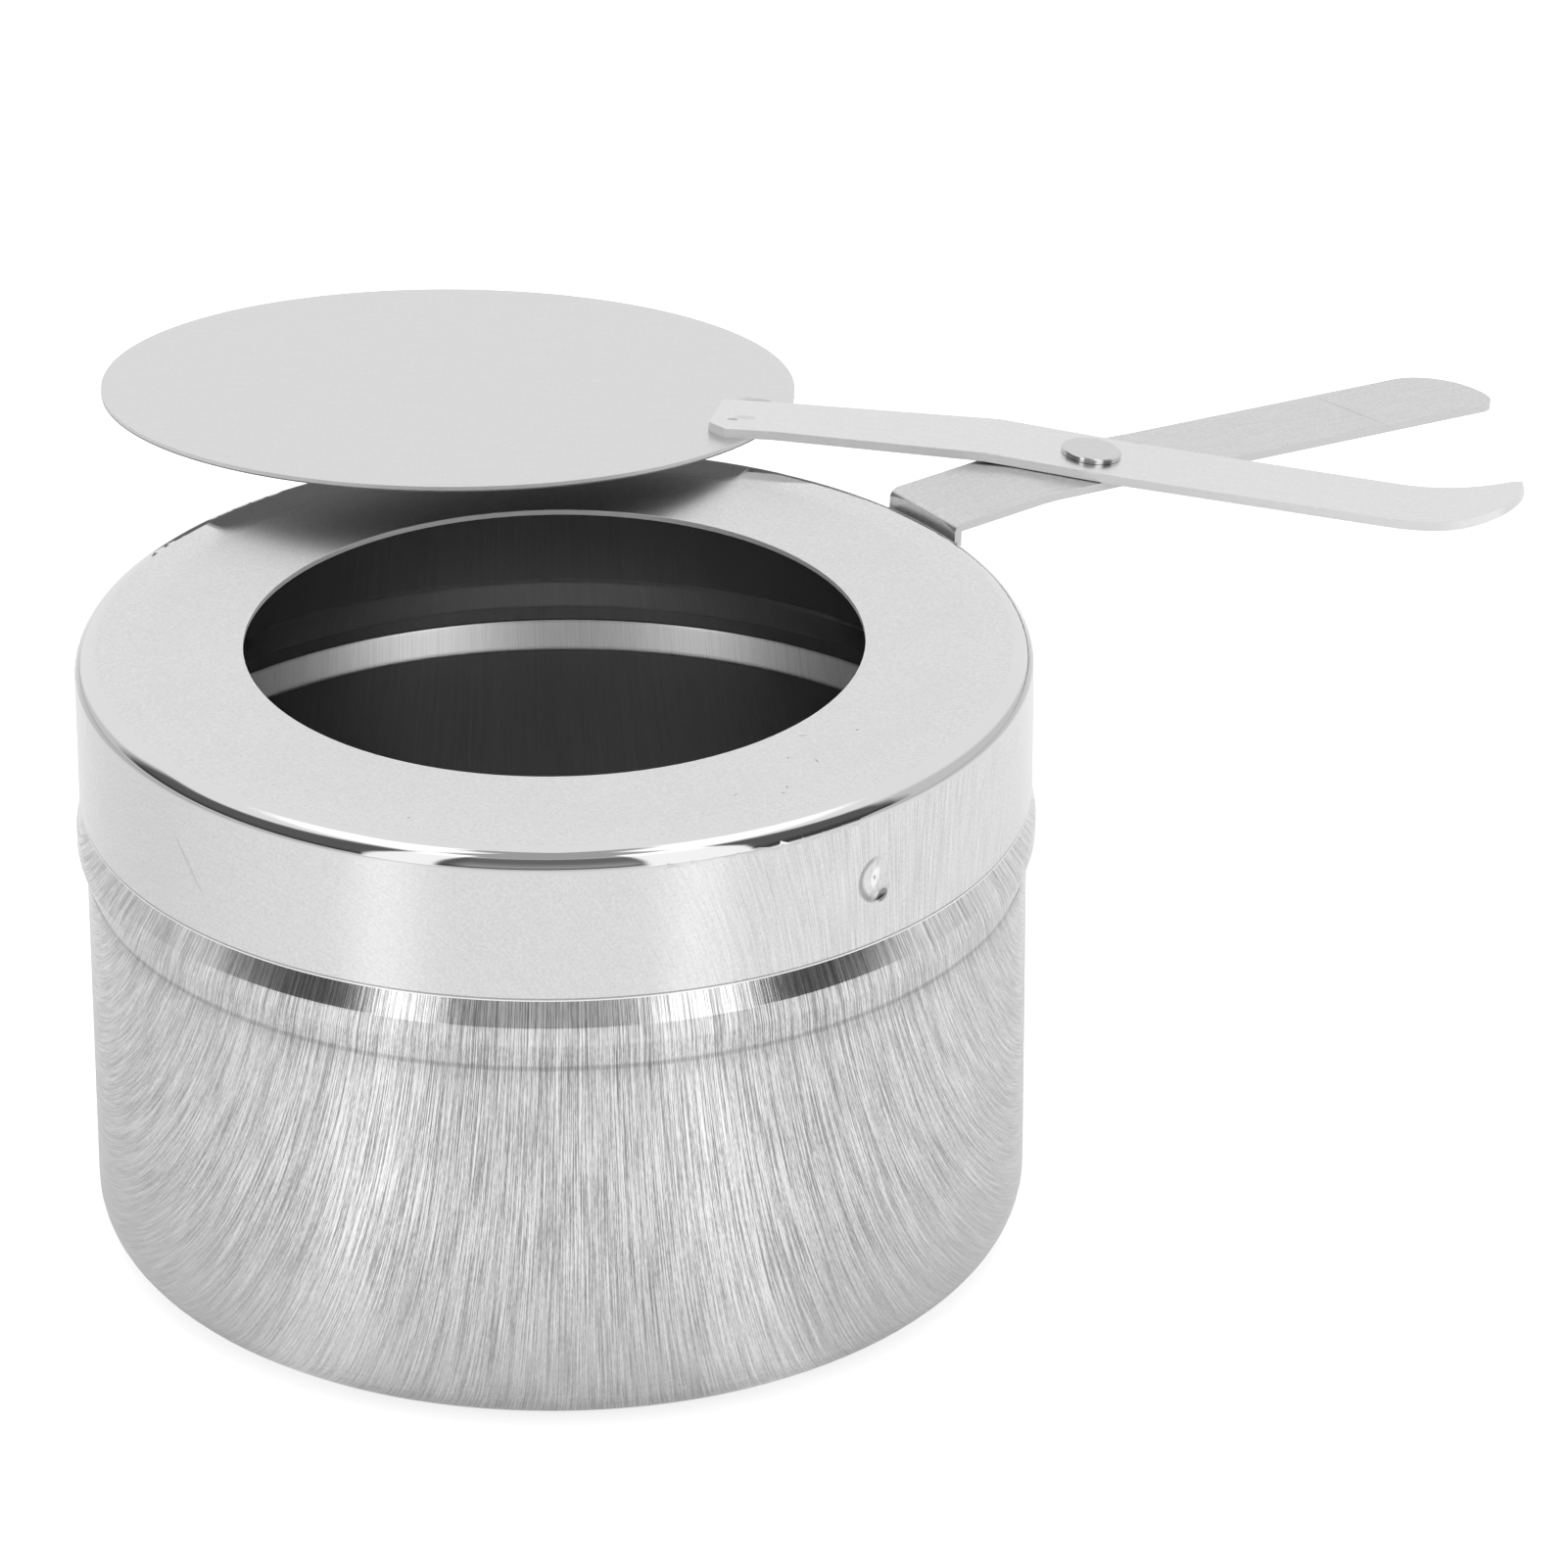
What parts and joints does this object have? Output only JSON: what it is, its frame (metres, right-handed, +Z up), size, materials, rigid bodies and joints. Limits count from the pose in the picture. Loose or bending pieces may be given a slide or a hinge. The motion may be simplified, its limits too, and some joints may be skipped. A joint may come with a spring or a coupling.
{
  "type": "fuel burner pot",
  "caption": "Round stainless pot for a can of heating fuel, with a slip-on cap ring round a flame hole, a handle strip, and a snuffer disc on a lever that swings over the hole.",
  "frame": {"origin": "middle of the flat base, on the surface that the pot stands on", "axes": "+Z up along the pot's axis, +X along the handle strip, +Y towards the side where the open snuffer disc lies"},
  "size_m": [0.1624, 0.1337, 0.0642],
  "materials": {
    "pot_steel": "brushed upright, satin",
    "cap_steel": "satin with a polished edge",
    "handle_steel": "fine satin",
    "rivet_steel": "satin with a bright rim",
    "lever_steel": "fine satin",
    "disc_steel": "fine satin"
  },
  "bodies": {
    "pot": {"pot_body": "pot_steel"},
    "cap": {"cap_ring": "cap_steel", "handle_strip": "handle_steel", "pivot_rivet": "rivet_steel"},
    "snuffer": {"lever_arm": "lever_steel", "snuffer_disc": "disc_steel"}
  },
  "joints": [
    {"name": "cap_lift", "type": "slide", "parent": "pot", "child": "cap", "axis": [0, 0, 1], "range_m": [0, 0.03]},
    {"name": "snuffer_swing", "type": "hinge", "parent": "cap", "child": "snuffer", "pos_m": [0.066, 0, 0.05943], "axis": [0.1297, -0.0407, 0.9907], "range_deg": [-70, 55]}
  ]
}
